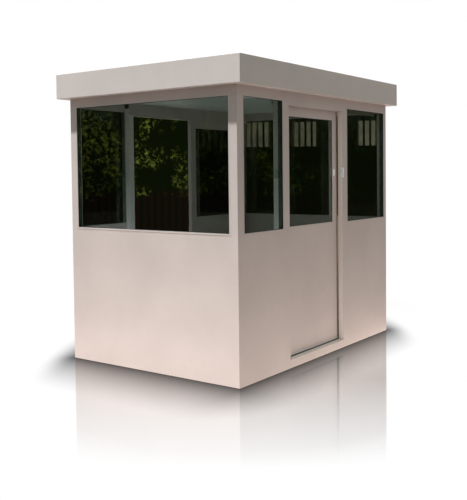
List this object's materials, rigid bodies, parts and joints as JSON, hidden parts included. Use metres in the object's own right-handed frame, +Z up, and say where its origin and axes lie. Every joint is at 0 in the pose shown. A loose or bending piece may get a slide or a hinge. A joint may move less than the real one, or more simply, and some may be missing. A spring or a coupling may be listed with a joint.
{
  "type": "guard booth",
  "caption": "Free-standing painted steel guard booth with a flat overhanging roof, tinted windows all round and top-hung sliding doors.",
  "frame": {"origin": "on the ground at the centre of the booth's footprint", "axes": "+Z up, +X along the long walls towards the end with the large windows, -Y out of the front wall with the shut door"},
  "size_m": [2.682, 1.925, 2.44],
  "materials": {
    "wall_paint": "smooth beige paint",
    "roof_paint": "smooth beige paint",
    "ceiling_paint": "smooth pale paint",
    "tinted_glass": "dark green tint",
    "seal_rubber": "matt",
    "bright_steel": "bright",
    "track_steel": "grey paint",
    "floor_steel": "grey deck paint"
  },
  "bodies": {
    "booth": {"base_runners": "floor_steel", "floor_plate": "floor_steel", "front_wall_left": "wall_paint", "front_wall_right": "wall_paint", "front_lintel": "wall_paint", "front_sill": "wall_paint", "back_wall_left": "wall_paint", "back_wall_right": "wall_paint", "back_lintel": "wall_paint", "back_sill": "wall_paint", "left_wall": "wall_paint", "right_wall": "wall_paint", "glass_left": "tinted_glass", "glass_right": "tinted_glass", "glass_front_small": "tinted_glass", "glass_front_large": "tinted_glass", "glass_back_small": "tinted_glass", "glass_back_large": "tinted_glass", "window_trims": "wall_paint", "ceiling_panel": "ceiling_paint", "soffit": "roof_paint", "roof_deck": "roof_paint", "fascia_front": "roof_paint", "fascia_back": "roof_paint", "fascia_left": "roof_paint", "fascia_right": "roof_paint", "roof_edge": "roof_paint", "front_door_track": "track_steel", "front_door_stop": "wall_paint", "front_door_keeper": "bright_steel", "back_door_track": "track_steel", "back_door_stop": "wall_paint", "back_door_keeper": "bright_steel"},
    "front_door": {"front_door_leaf": "wall_paint", "front_door_glass": "tinted_glass", "front_door_seal": "seal_rubber", "front_door_pull": "bright_steel", "front_door_hangers": "track_steel"},
    "back_door": {"back_door_leaf": "wall_paint", "back_door_glass": "tinted_glass", "back_door_seal": "seal_rubber", "back_door_pull": "bright_steel", "back_door_hangers": "track_steel"}
  },
  "joints": [
    {"name": "front_door_slide", "type": "slide", "parent": "booth", "child": "front_door", "axis": [1, 0, 0], "range_m": [0, 0.83]},
    {"name": "back_door_slide", "type": "slide", "parent": "booth", "child": "back_door", "axis": [1, 0, 0], "range_m": [-0.83, 0]}
  ]
}
